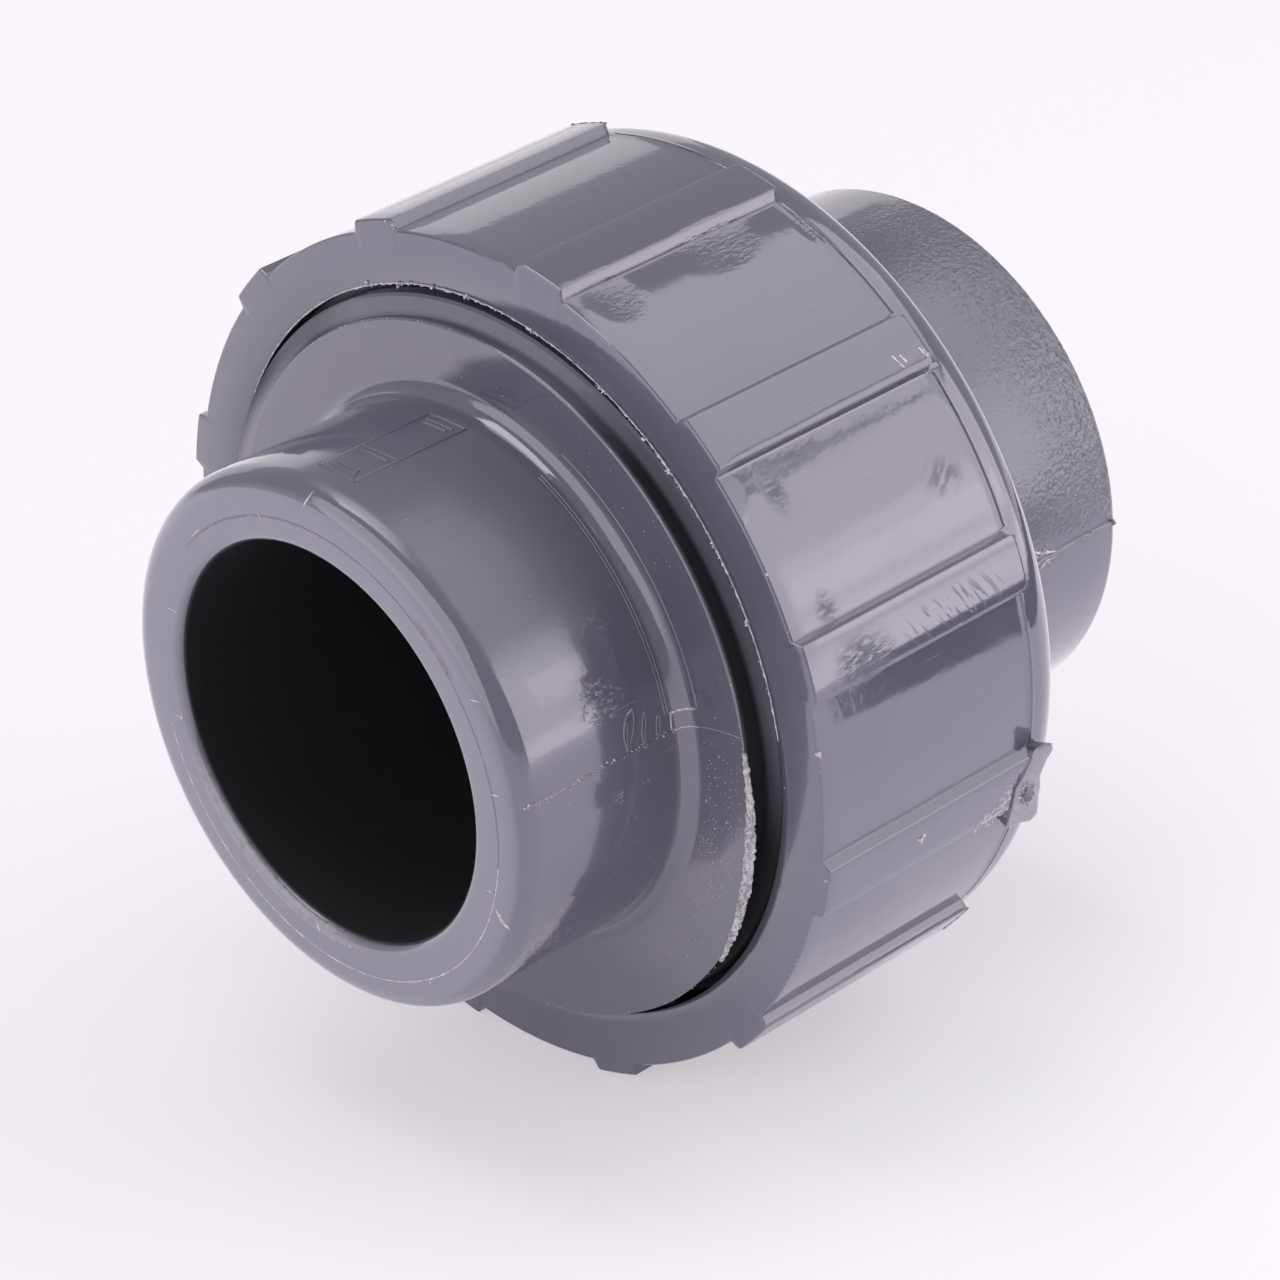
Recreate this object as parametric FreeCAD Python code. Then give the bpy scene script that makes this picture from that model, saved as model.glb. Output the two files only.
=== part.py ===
"""Pipe union for a 1 inch solvent-welded pipe, lying on its side and screwed together.

Four pieces: a threaded end, a union nut, a tailpiece and the o-ring between the two ends.
Millimetres. +X runs along the pipe from the threaded end to the tailpiece, +Z is up.
The origin is on the pipe axis, in the plane where the two ends meet.
Angles turn about +X from +Y towards +Z, so 90 degrees is the top.
"""
import FreeCAD, Part
import math
import os

from FreeCAD import Vector

# Pipe sockets, for a pipe of 33.4 mm outside diameter
socket_radius = 16.8
socket_depth = 28.6
socket_entry_rounding = 0.8
stop_web = 4.8
waterway_radius = 12.3

# Round hubs outside the sockets
hub_radius = 22.6
front_rim_rounding = 2.0
rear_rim_rounding = 0.8

# Threaded end
front_hub_length = 17.35
shoulder_fillet = 1.5
thread_root_radius = 28.75
thread_lead_chamfer = 1.0

# Screw thread, right-handed, cut from the shoulder's face backwards
thread_pitch = 4.2
thread_height = 1.7
thread_base_width = 2.2
thread_crest_width = 1.6
thread_start_angle = 20.0
thread_radial_clearance = 0.35
thread_axial_clearance = 0.35
thread_embed = 0.4
male_thread_end_gap = 1.5

# Union nut
nut_wall = 4.45
nut_length = 27.8
nut_bore_clearance = 0.6
nut_lip_thickness = 6.0
nut_lip_clearance = 0.5
nut_lip_edge_chamfer = 0.5
nut_shoulder_rounding = 3.5
nut_mouth_chamfer_width = 0.7
nut_mouth_chamfer_depth = 0.3
nut_cavity_rounding = 1.0
nut_thread_inset = 1.4
nut_thread_to_seal = 1.2
parting_line_from_front = 23.4
parting_line_width = 0.4
parting_line_depth = 0.15

# Grip bars on the nut
bar_count = 12
bar_first_angle = 15.0
bar_height = 0.92
bar_base_width = 5.15
bar_top_width = 4.4
bar_length = 23.5
bar_end_rounding = 0.5

# Torn gate at the rear end of one bar
gate_bar_angle = 195.0
gate_thickness = 1.6
gate_over_bar_end = 0.65
gate_foot_depth = 1.75
gate_outline = [(-2.2, 0.0), (-0.9, 0.2), (0.6, 0.55), (2.4, 1.0), (4.3, 1.1), (5.1, 0.5), (4.9, -0.9)]

# Tailpiece
flange_thickness = 6.9
flange_clearance = 0.5
flange_edge_chamfer = 0.5
nut_seat_gap = 0.05

# O-ring of 3.53 mm section, squeezed into its groove
ring_section = 3.53
ring_mean_radius = 21.5
ring_groove_width = 4.3
ring_groove_depth = 2.9

# Places that follow from the sizes above
end_distance = socket_depth + stop_web
front_face_x = -end_distance
shoulder_x = front_face_x + front_hub_length
thread_crest_radius = thread_root_radius + thread_height
nut_bore_radius = thread_crest_radius + nut_bore_clearance
nut_radius = nut_bore_radius + nut_wall
nut_crest_radius = thread_root_radius + thread_radial_clearance
nut_lip_x = flange_thickness + nut_seat_gap
nut_rear_x = nut_lip_x + nut_lip_thickness
nut_front_x = nut_rear_x - nut_length
nut_lip_radius = hub_radius + nut_lip_clearance
flange_radius = nut_crest_radius - flange_clearance


def revolved(outline):
    """Turns an outline of edges, drawn as (x, radius), a full turn about the pipe axis."""
    face = Part.Face(Part.Wire(outline))
    return face.revolve(Vector(0, 0, 0), Vector(1, 0, 0), 360)


def line(start, end):
    return Part.LineSegment(Vector(start[0], start[1], 0), Vector(end[0], end[1], 0)).toShape()


def arc(start, middle, end):
    points = [Vector(p[0], p[1], 0) for p in (start, middle, end)]
    return Part.Arc(*points).toShape()


def quarter(start, end, centre):
    """A quarter circle from start to end about centre."""
    radius = math.hypot(start[0] - centre[0], start[1] - centre[1])
    towards_x = (start[0] + end[0]) / 2 - centre[0]
    towards_r = (start[1] + end[1]) / 2 - centre[1]
    scale = radius / math.hypot(towards_x, towards_r)
    middle = (centre[0] + towards_x * scale, centre[1] + towards_r * scale)
    return arc(start, middle, end)


def chain(steps):
    """Edges through the steps: a point is a straight run, and a pair of points is a quarter
    circle to the first point about the second."""
    edges = []
    here = steps[0]
    for step in steps[1:]:
        if isinstance(step[0], tuple):
            edges.append(quarter(here, step[0], step[1]))
            here = step[0]
        else:
            edges.append(line(here, step))
            here = step
    if math.dist(here, steps[0]) > 1e-9:
        edges.append(line(here, steps[0]))
    return edges


def socket_half(direction, rim_rounding):
    """The inner outline of one end, from the meeting plane's bore to the hub's rim.
    direction is -1 for the threaded end and 1 for the tailpiece."""
    stop_x = direction * stop_web
    face_x = direction * end_distance
    entry_x = face_x - direction * socket_entry_rounding
    rim_x = face_x - direction * rim_rounding
    entry_radius = socket_radius + socket_entry_rounding
    rim_radius = hub_radius - rim_rounding
    return [
        (0, waterway_radius),
        (stop_x, waterway_radius),
        (stop_x, socket_radius),
        (entry_x, socket_radius),
        ((face_x, entry_radius), (entry_x, entry_radius)),
        (face_x, rim_radius),
        ((rim_x, hub_radius), (rim_x, rim_radius)),
    ]


def ring_groove():
    """The groove in the threaded end's sealing face, as outline points from outside in."""
    outer = ring_mean_radius + ring_groove_width / 2
    inner = ring_mean_radius - ring_groove_width / 2
    return [(0, outer), (-ring_groove_depth, outer), (-ring_groove_depth, inner), (0, inner)]


def threaded_body():
    """The threaded end without its thread."""
    outline = socket_half(-1, front_rim_rounding)
    fillet_radius = hub_radius + shoulder_fillet
    fillet_x = shoulder_x - shoulder_fillet
    outline += [
        (fillet_x, hub_radius),
        ((shoulder_x, fillet_radius), (fillet_x, fillet_radius)),
        (shoulder_x, thread_root_radius),
        (-thread_lead_chamfer, thread_root_radius),
        (0, thread_root_radius - thread_lead_chamfer),
    ]
    return revolved(chain(outline + ring_groove()))


def half_width(radius):
    """Half the external ridge's width at a radius, along its straight flanks."""
    share = (radius - thread_root_radius) / thread_height
    return (thread_base_width + (thread_crest_width - thread_base_width) * share) / 2


def gap_half_width(radius):
    """Half the internal ridge's width, so that it clears the external turn on either side."""
    return thread_pitch / 2 - half_width(radius) - thread_axial_clearance


def ridge_profile(middle_x, inner, outer, width_at):
    """The four corners of a ridge's section between two radii, as (x, radius)."""
    return [
        (middle_x - width_at(inner), inner),
        (middle_x - width_at(outer), outer),
        (middle_x + width_at(outer), outer),
        (middle_x + width_at(inner), inner),
    ]


def helical_ridge(profile, last_x):
    """Sweeps a profile along a right-hand helix about the pipe axis, from one pitch ahead of
    the shoulder's face, at the thread's start angle, until it has passed last_x."""
    turns = math.ceil((last_x - shoulder_x) / thread_pitch + 2)
    radius = sum(corner[1] for corner in profile) / len(profile)
    helix = Part.makeHelix(thread_pitch, thread_pitch * turns, radius)
    corners = [Vector(r, 0, x) for x, r in profile]
    section = Part.makePolygon(corners + corners[:1])
    ridge = Part.Wire(helix).makePipeShell([section], True, True)
    ridge.rotate(Vector(0, 0, 0), Vector(0, 0, 1), thread_start_angle)
    ridge.rotate(Vector(0, 0, 0), Vector(1, 1, 1), 120)
    ridge.translate(Vector(shoulder_x - thread_pitch, 0, 0))
    return ridge


def male_thread():
    """The external ridge, cut off by the shoulder's face and by a cone at its far end."""
    inner = thread_root_radius - thread_embed
    profile = ridge_profile(thread_base_width / 2, inner, thread_crest_radius, half_width)
    floor = inner - thread_embed
    ceiling = thread_crest_radius + thread_embed
    end_x = -male_thread_end_gap
    zone = revolved(chain([
        (shoulder_x, floor),
        (end_x, floor),
        (end_x - (ceiling - floor), ceiling),
        (shoulder_x, ceiling),
    ]))
    return helical_ridge(profile, end_x).common(zone)


def female_thread():
    """The nut's internal ridge, centred between two turns of the external one."""
    outer = nut_bore_radius + thread_embed
    middle_x = (thread_base_width + thread_pitch) / 2
    profile = ridge_profile(middle_x, nut_crest_radius, outer, gap_half_width)
    floor = nut_crest_radius - thread_embed
    ceiling = outer + thread_embed
    first_x = nut_front_x + nut_thread_inset
    last_x = -nut_thread_to_seal
    zone = revolved(chain([
        (first_x, floor),
        (last_x, floor),
        (last_x, ceiling),
        (first_x, ceiling),
    ]))
    return helical_ridge(profile, last_x).common(zone)


def threaded_end():
    return threaded_body().fuse(male_thread())


def nut_shell():
    """The nut's wall and lip, turned, without its bars and thread."""
    shoulder_radius = nut_radius - nut_shoulder_rounding
    shoulder_start_x = nut_rear_x - nut_shoulder_rounding
    groove_x = nut_front_x + parting_line_from_front
    cavity_x = nut_lip_x - nut_cavity_rounding
    cavity_radius = nut_bore_radius - nut_cavity_rounding
    return revolved(chain([
        (nut_front_x + nut_mouth_chamfer_depth, nut_bore_radius),
        (nut_front_x, nut_bore_radius + nut_mouth_chamfer_width),
        (nut_front_x, nut_radius),
        (groove_x - parting_line_width / 2, nut_radius),
        (groove_x, nut_radius - parting_line_depth),
        (groove_x + parting_line_width / 2, nut_radius),
        (shoulder_start_x, nut_radius),
        ((nut_rear_x, shoulder_radius), (shoulder_start_x, shoulder_radius)),
        (nut_rear_x, nut_lip_radius + nut_lip_edge_chamfer),
        (nut_rear_x - nut_lip_edge_chamfer, nut_lip_radius),
        (nut_lip_x, nut_lip_radius),
        (nut_lip_x, cavity_radius),
        ((cavity_x, nut_bore_radius), (cavity_x, cavity_radius)),
    ]))


def at_angle(shape, angle):
    shape.rotate(Vector(0, 0, 0), Vector(1, 0, 0), angle)
    return shape


def grip_bar():
    """One bar at angle 0, with sloping sides, its top on a cylinder about the pipe axis."""
    top_radius = nut_radius + bar_height
    foot_radius = nut_radius - bar_height
    draft = (bar_base_width - bar_top_width) / 2
    foot = bar_base_width / 2 + draft
    top = bar_top_width / 2
    top_y = math.sqrt(top_radius ** 2 - top ** 2)
    ends = [(foot_radius, -foot), (top_y, -top), (top_y, top), (foot_radius, foot)]
    points = [Vector(nut_front_x, y, z) for y, z in ends]
    crown = Part.Arc(points[1], Vector(nut_front_x, top_radius, 0), points[2]).toShape()
    sides = [
        Part.LineSegment(points[0], points[1]).toShape(),
        crown,
        Part.LineSegment(points[2], points[3]).toShape(),
        Part.LineSegment(points[3], points[0]).toShape(),
    ]
    bar = Part.Face(Part.Wire(sides)).extrude(Vector(bar_length, 0, 0))
    rear_x = nut_front_x + bar_length
    corners = [
        edge for edge in bar.Edges
        if all(abs(v.X - rear_x) < 1e-6 for v in edge.Vertexes)
        and abs(edge.Vertexes[0].Y - edge.Vertexes[1].Y) > bar_height
    ]
    return bar.makeFillet(bar_end_rounding, corners)


def torn_gate():
    """What is left of the moulding gate, a low torn wall across the rear end of its bar.
    Its outline runs along the circumference, with heights above the bar's top."""
    end_x = nut_front_x + bar_length + gate_over_bar_end
    top_radius = nut_radius + bar_height
    foot = nut_radius - gate_foot_depth - top_radius
    outline = gate_outline + [(gate_outline[-1][0], foot), (gate_outline[0][0], foot)]
    points = []
    for along, above in outline:
        radius = top_radius + above
        angle = along / top_radius
        points.append(Vector(end_x, radius * math.cos(angle), radius * math.sin(angle)))
    wall = Part.Face(Part.makePolygon(points + points[:1])).extrude(Vector(-gate_thickness, 0, 0))
    return at_angle(wall, gate_bar_angle)


def union_nut():
    step = 360 / bar_count
    bars = [at_angle(grip_bar(), bar_first_angle + step * index) for index in range(bar_count)]
    outside = nut_shell().fuse(bars + [torn_gate()]).removeSplitter()
    return outside.fuse(female_thread())


def tailpiece():
    outline = socket_half(1, rear_rim_rounding)
    outline += [
        (flange_thickness, hub_radius),
        (flange_thickness, flange_radius),
        (flange_edge_chamfer, flange_radius),
        (0, flange_radius - flange_edge_chamfer),
    ]
    return revolved(chain(outline))


def o_ring():
    """A round section flattened between the groove's floor and the tailpiece's face."""
    half_depth = ring_groove_depth / 2
    radius = ring_section / 2
    flat = math.sqrt(radius ** 2 - half_depth ** 2)
    inner = ring_mean_radius - flat
    outer = ring_mean_radius + flat
    front = -ring_groove_depth
    return revolved([
        line((front, inner), (front, outer)),
        arc((front, outer), (-half_depth, ring_mean_radius + radius), (0, outer)),
        line((0, outer), (0, inner)),
        arc((0, inner), (-half_depth, ring_mean_radius - radius), (front, inner)),
    ])


def export(name, shape):
    """Writes one sub-part and prints what it measures."""
    solid = shape.Solids[0] if len(shape.Solids) == 1 else shape
    box = solid.optimalBoundingBox(False, False)
    print(name, "solids", len(shape.Solids), "valid", solid.isValid(), "volume", round(solid.Volume, 1))
    print("  x", round(box.XMin, 3), round(box.XMax, 3), "y", round(box.YMin, 3), round(box.YMax, 3),
          "z", round(box.ZMin, 3), round(box.ZMax, 3))
    solid.exportStep("parts/" + name + ".step")


os.makedirs("parts", exist_ok=True)
export("threaded_end", threaded_end())
export("union_nut", union_nut())
export("tailpiece", tailpiece())
export("o_ring", o_ring())
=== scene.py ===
"""Looks of a pipe union: moulded plastic, mould seams, torn flash, dust and wear.

Sizes are in millimetres and angles in degrees about the pipe axis, from +Y towards +Z, as in
the construction. The meshes themselves are in metres.
"""

import math

import bpy
import numpy as np
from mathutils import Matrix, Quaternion, Vector


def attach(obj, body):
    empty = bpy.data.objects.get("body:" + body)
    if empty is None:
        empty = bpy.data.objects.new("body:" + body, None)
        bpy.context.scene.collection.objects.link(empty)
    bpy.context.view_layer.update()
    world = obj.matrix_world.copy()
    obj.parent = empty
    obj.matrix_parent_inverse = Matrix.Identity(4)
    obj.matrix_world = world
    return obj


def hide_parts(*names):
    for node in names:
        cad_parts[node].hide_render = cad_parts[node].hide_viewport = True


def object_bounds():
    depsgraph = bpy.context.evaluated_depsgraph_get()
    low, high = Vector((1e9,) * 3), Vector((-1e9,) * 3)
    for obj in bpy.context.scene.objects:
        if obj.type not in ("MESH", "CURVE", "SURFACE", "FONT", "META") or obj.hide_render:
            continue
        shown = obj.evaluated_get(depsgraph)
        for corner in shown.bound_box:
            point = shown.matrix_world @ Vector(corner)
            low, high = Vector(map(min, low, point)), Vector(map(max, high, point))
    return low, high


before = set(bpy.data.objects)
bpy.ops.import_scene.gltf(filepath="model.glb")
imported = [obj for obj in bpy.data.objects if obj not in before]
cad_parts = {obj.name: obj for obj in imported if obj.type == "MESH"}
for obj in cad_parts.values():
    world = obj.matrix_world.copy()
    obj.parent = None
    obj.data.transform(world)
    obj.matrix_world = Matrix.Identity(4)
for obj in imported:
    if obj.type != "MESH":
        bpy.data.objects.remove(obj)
cad_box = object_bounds()

# Pipe sockets and hubs
socket_radius = 16.8
socket_entry_rounding = 0.8
stop_x = 4.8
waterway_radius = 12.3
hub_radius = 22.6
hub_rim_rounding = 2.0
rear_rim_rounding = 0.8
face_x = 33.4

# Threaded end
shoulder_x = -16.05
shoulder_fillet = 1.5
thread_root_radius = 28.75
thread_lead_chamfer = 1.0
ring_groove = (19.35, 23.65)
ring_groove_depth = 2.9

# Screw thread
thread_pitch = 4.2
thread_height = 1.7
thread_base_width = 2.2
thread_crest_width = 1.6
thread_crest_rounding = 0.2
thread_start_angle = 20.0
thread_clearance = 0.35
thread_embed = 0.4
male_thread_end_x = -1.5

# Union nut
nut_front_x = -14.85
nut_rear_x = 12.95
nut_lip_x = 6.95
nut_lip_radius = 23.1
nut_lip_chamfer = 0.5
nut_radius = 35.5
nut_bore_radius = 31.05
nut_cavity_rounding = 1.0
nut_mouth_chamfer_depth = 0.3
nut_mouth_chamfer_width = 0.7
nut_shoulder_rounding = 3.5
nut_thread_first_x = -13.45
nut_thread_last_x = -1.2
parting_line_x = 8.55
bar_angles = np.arange(15.0, 360.0, 30.0)
bar_height = 0.92
bar_top_radius = nut_radius + bar_height
bar_end_x = 8.65
bar_end_rounding = 0.5
bar_half_top = 2.2
bar_half_base = 2.575

# Torn gate across the rear end of one bar: its height above the bar's top along the
# circumference, and the crater where it broke off, along it and across its sloping face
gate_angle = 195.8
gate_front_x = 7.7
gate_rear_x = 9.3
gate_foot_depth = 1.9
gate_ends = (-3.9, 4.1)
gate_tops = [(-3.9, 0.9), (-3.5, 1.1), (-2.6, 0.8), (-1.3, 0.75), (-0.2, 0.95), (0.7, 0.95),
             (1.5, 1.1), (2.4, 1.2), (3.4, 0.85), (4.1, 0.1)]
gate_crater = (0.25, 0.56)
crater_radius = 1.05
crater_depth = 0.42

# Tailpiece
flange_x = 6.9
flange_radius = 28.6
flange_chamfer = 0.5

# Meshes
edge_rounding = 0.22
turn_step = 1.25
thread_step = 2.5

# Camera, as the photograph was taken
camera_place = (-264.368, -293.576, 198.306)
camera_target = (-1.093, -1.669, -3.834)
camera_roll = -5.2636
camera_lens = 154.361
camera_sensor = 36.0

# Colours
plastic_dark = (0.100, 0.094, 0.127, 1)
plastic_light = (0.114, 0.108, 0.143, 1)
plastic_tint = (0.97, 0.93, 1.0, 1)
worn_colour = (0.17, 0.165, 0.195, 1)
cut_face_colour = (0.205, 0.195, 0.235, 1)
rubbed_colour = (0.32, 0.305, 0.305, 1)
stain_colour = (0.19, 0.165, 0.11, 1)
torn_grey = (0.36, 0.34, 0.37, 1)
torn_white = (0.78, 0.755, 0.77, 1)
# The gate's tones: stretched, whitened plastic, lifted further with painted light
gate_dark_lit = (0.33, 0.308, 0.345, 1)
gate_pale_lit = (0.56, 0.523, 0.575, 1)
dust_colour = (0.125, 0.113, 0.105, 1)
# Dirt in the nut's seam and on the face's ring, and painted shade at the bottom of the gate's crater
dirt_and_shade_colour = (0.030, 0.028, 0.032, 1)
# Painted shade for the insides of the bores and the gaps between the parts
painted_shade_colour = (0.016, 0.016, 0.019, 1)
# Painted shade for the crevice in front of the gate
crevice_shade_colour = (0.006, 0.006, 0.006, 1)


def on_axis(x, radius, angle):
    """Points in metres from places along, out from and around the pipe axis."""
    turn = np.radians(angle)
    x, radius, turn = np.broadcast_arrays(x, radius, turn)
    return np.stack([x, radius * np.cos(turn), radius * np.sin(turn)], axis=-1) * 0.001


def around(x, radius, angle):
    """on_axis, but in mm."""
    return on_axis(x, radius, angle) * 1000


def outwards(angle):
    """The direction away from the axis at an angle."""
    turn = np.radians(angle)
    return np.stack([np.zeros_like(turn), np.cos(turn), np.sin(turn)], axis=-1)


def outline(steps, longest=2.5, arc_steps=8):
    """Points along a closed section. A point is a straight run, and a pair of points is a
    quarter circle to the first point about the second."""
    points = [steps[0]]
    for step in steps[1:] + [steps[0]]:
        here = points[-1]
        if isinstance(step[0], tuple):
            end, centre = step
            for share in np.linspace(0, math.pi / 2, arc_steps + 1)[1:]:
                across, up = math.cos(share), math.sin(share)
                points.append((
                    centre[0] + (here[0] - centre[0]) * across + (end[0] - centre[0]) * up,
                    centre[1] + (here[1] - centre[1]) * across + (end[1] - centre[1]) * up,
                ))
        else:
            runs = max(1, math.ceil(math.dist(here, step) / longest))
            for run in range(1, runs + 1):
                share = run / runs
                points.append((here[0] + (step[0] - here[0]) * share,
                               here[1] + (step[1] - here[1]) * share))
    return np.array(points[:-1])


def resample(places, spacing):
    """Points at an even spacing along a run of straight lines."""
    lengths = np.linalg.norm(np.diff(places, axis=0), axis=1)
    travelled = np.concatenate([[0], np.cumsum(lengths)])
    count = max(2, int(travelled[-1] / spacing) + 1)
    steps = np.linspace(0, travelled[-1], count)
    return np.stack([np.interp(steps, travelled, places[:, k]) for k in range(2)], axis=-1)


def mesh_piece(name, points, faces, body, material, sharp=32):
    """A shaded mesh that rides on a body and stands for its solid. Edges that bend more than
    sharp degrees stay crisp."""
    mesh = bpy.data.meshes.new(name)
    mesh.from_pydata([tuple(p) for p in points], [], [tuple(f) for f in faces])
    mesh.materials.append(material)
    mesh.shade_smooth()
    mesh.set_sharp_from_angle(angle=math.radians(sharp))
    piece = bpy.data.objects.new(name, mesh)
    bpy.context.scene.collection.objects.link(piece)
    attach(piece, body)
    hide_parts(body)


def ring_faces(rows, columns):
    """Quads of a closed ring of closed sections, facing outwards for a section that runs
    forwards along the inside and back along the outside."""
    row, column = np.meshgrid(np.arange(rows), np.arange(columns), indexing="ij")
    next_row = (row + 1) % rows
    next_column = (column + 1) % columns
    quads = [row * columns + column, next_row * columns + column,
             next_row * columns + next_column, row * columns + next_column]
    return np.stack([q.ravel() for q in quads], axis=-1)


def strip_faces(rows, columns):
    """Faces of a closed section carried along columns, with both ends capped."""
    row, column = np.meshgrid(np.arange(rows), np.arange(columns - 1), indexing="ij")
    after = (row + 1) % rows
    quads = [row * columns + column, row * columns + column + 1,
             after * columns + column + 1, after * columns + column]
    faces = [tuple(f) for f in np.stack([q.ravel() for q in quads], axis=-1)]
    faces.append(tuple(r * columns for r in range(rows)))
    faces.append(tuple(r * columns + columns - 1 for r in reversed(range(rows))))
    return faces


def turned_piece(name, x, radius, angles, body, material):
    """A closed piece about the axis from grids of places: rows run along its section."""
    points = on_axis(x, radius, angles[None, :])
    mesh_piece(name, points.reshape(-1, 3), ring_faces(*radius.shape), body, material)


def turned_grids(section):
    """Grids of x and radius for a section turned about the axis, and the angles."""
    angles = np.arange(0, 360, turn_step)
    x, radius = [np.repeat(places[:, None], len(angles), axis=1) for places in section.T]
    return x, radius, angles


def half_width(radius):
    """Half the width of the outer thread's ridge at a radius."""
    share = (radius - thread_root_radius) / thread_height
    return (thread_base_width + (thread_crest_width - thread_base_width) * share) / 2


def swept_thread(name, section, low_x, high_x, taper_x, body, material):
    """A ridge along the screw line, cut off at low_x and high_x. Its section is (x, radius) on
    the first turn, with its base first and last. From taper_x on it sinks into its base."""
    turns = (high_x - shoulder_x) / thread_pitch + 2
    travel = np.arange(0, turns * 360, thread_step)
    ahead = shoulder_x - thread_pitch + thread_pitch * travel / 360
    inside = (ahead + section[:, 0].max() > low_x) & (ahead + section[:, 0].min() < high_x)
    travel, ahead = travel[inside], ahead[inside]
    whole_x = section[:, 0][:, None] + ahead[None, :]
    x = np.clip(whole_x, low_x, high_x)
    radius = np.broadcast_to(section[:, 1][:, None], x.shape)
    order = np.argsort(section[:, 0])
    surface = np.interp(x - ahead[None, :], section[order, 0], section[order, 1])
    base = section[0, 1]
    lower = np.abs(surface - base) < np.abs(radius - base)
    radius = np.where((x != whole_x) & lower, surface, radius)
    if taper_x is not None:
        ceiling = thread_root_radius + thread_height - np.maximum(0, x - taper_x)
        radius = np.minimum(radius, ceiling)
    points = on_axis(x, radius, thread_start_angle + travel[None, :])
    mesh_piece(name, points.reshape(-1, 3), strip_faces(*x.shape), body, material)


class Relief:
    """Small raised lines, fins and crumbs, gathered into one piece. Places are in mm, and a
    size given as a tuple is ragged's low, high and power."""

    ridge_shape = [(-0.5, None), (-0.36, 0.55), (-0.12, 0.97), (0.12, 0.97), (0.36, 0.55), (0.5, None)]
    crumb_rings = [(0.35, 0.75), (0.8, 0.35), (1.0, -0.35)]
    crumb_sides = 6

    def __init__(self, seed):
        self.points, self.faces = [], []
        self.chance = np.random.default_rng(seed)

    def ragged(self, count, low, high, power=1.0):
        """Uneven sizes from low to high, that change from one station to the next."""
        return low + (high - low) * self.chance.random(count) ** power

    def sizes(self, size, count):
        if isinstance(size, tuple):
            return self.ragged(count, *size)
        return np.broadcast_to(size, count)

    def line(self, path, normals, width, height, sink=0.08):
        """A low rounded ridge along a path, with the surface's normals under it."""
        count, rows = len(path), len(self.ridge_shape)
        width, height = self.sizes(width, count), self.sizes(height, count)
        ahead = np.gradient(path, axis=0)
        across = np.cross(normals, ahead)
        across /= np.linalg.norm(across, axis=1)[:, None]
        start = len(self.points)
        for side, up in self.ridge_shape:
            lift = np.full(count, -sink) if up is None else height * up
            row = path + across * (width * side)[:, None] + normals * lift[:, None]
            self.points += [tuple(p) for p in row]
        for row in range(rows):
            after = (row + 1) % rows
            for step in range(count - 1):
                a, b = start + row * count + step, start + after * count + step
                self.faces.append((a, a + 1, b + 1, b))
        self.faces.append(tuple(start + row * count for row in range(rows)))
        self.faces.append(tuple(start + row * count + count - 1 for row in reversed(range(rows))))

    def on_barrel(self, places, radius, width, height, spacing=0.35):
        """A ridge on a cylinder, through places given as (x, angle)."""
        flat = resample(np.array([(x, math.radians(a) * radius) for x, a in places]), spacing)
        angle = np.degrees(flat[:, 1] / radius)
        self.line(around(flat[:, 0], radius, angle), outwards(angle), width, height)

    def on_face(self, places, x, width, height, spacing=0.35, rounding=None):
        """A ridge on a face at x that looks forwards, through places given as (radius, angle)."""
        steps = resample(np.array([(r * math.radians(a), r) for r, a in places]), spacing)
        radius = steps[:, 1]
        angle = np.degrees(steps[:, 0] / radius)
        back, lean = rounding(radius) if rounding else (0.0, np.zeros(len(steps)))
        normals = outwards(angle) * lean[:, None]
        normals[:, 0] = -np.sqrt(1 - lean ** 2)
        if callable(width):
            width = width(len(steps))
        self.line(around(x + back, radius, angle), normals, width, height)

    def crumb(self, place, normal, size, flat=0.6):
        """A crumpled speck about size across, half sunk in the surface."""
        normal = np.asarray(normal, float)
        side = np.cross(normal, (0.31, 0.55, 0.77))
        side /= np.linalg.norm(side)
        other = np.cross(normal, side)
        start, sides = len(self.points), self.crumb_sides
        for ring, level in self.crumb_rings:
            for step in range(sides):
                turn = 2 * math.pi * (step + 0.5 * self.chance.random()) / sides
                reach = size * 0.5 * ring * self.chance.uniform(0.65, 1.25)
                lift = size * flat * level * self.chance.uniform(0.6, 1.2)
                spot = place + side * reach * math.cos(turn) + other * reach * math.sin(turn)
                self.points.append(tuple(spot + normal * lift))
        for ring in range(len(self.crumb_rings) - 1):
            for step in range(sides):
                a, b = start + ring * sides + step, start + ring * sides + (step + 1) % sides
                self.faces.append((a, a + sides, b + sides, b))
        self.faces.append(tuple(start + step for step in range(sides)))
        self.faces.append(tuple(start + 2 * sides + step for step in reversed(range(sides))))

    def barrel_crumb(self, x, radius, angle, size, flat=0.6):
        self.crumb(around(x, radius, angle), outwards(angle), size, flat)

    def face_crumb(self, x, radius, angle, size, flat):
        self.crumb(around(x, radius, angle), (-1, 0, 0), size, flat)

    def piece(self, name, body, material):
        mesh_piece(name, np.array(self.points) * 0.001, self.faces, body, material, 50)


def hub_end_rounding(radius):
    """How far the front face falls back near its rims, and how far its normal leans outwards."""
    past_rim = np.clip(radius - (hub_radius - hub_rim_rounding), 0, hub_rim_rounding - 0.02)
    past_entry = socket_radius + socket_entry_rounding - radius
    past_entry = np.clip(past_entry, 0, socket_entry_rounding - 0.02)
    back = hub_rim_rounding - np.sqrt(hub_rim_rounding ** 2 - past_rim ** 2)
    back = back + socket_entry_rounding - np.sqrt(socket_entry_rounding ** 2 - past_entry ** 2)
    return back, past_rim / hub_rim_rounding - past_entry / socket_entry_rounding


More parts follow.
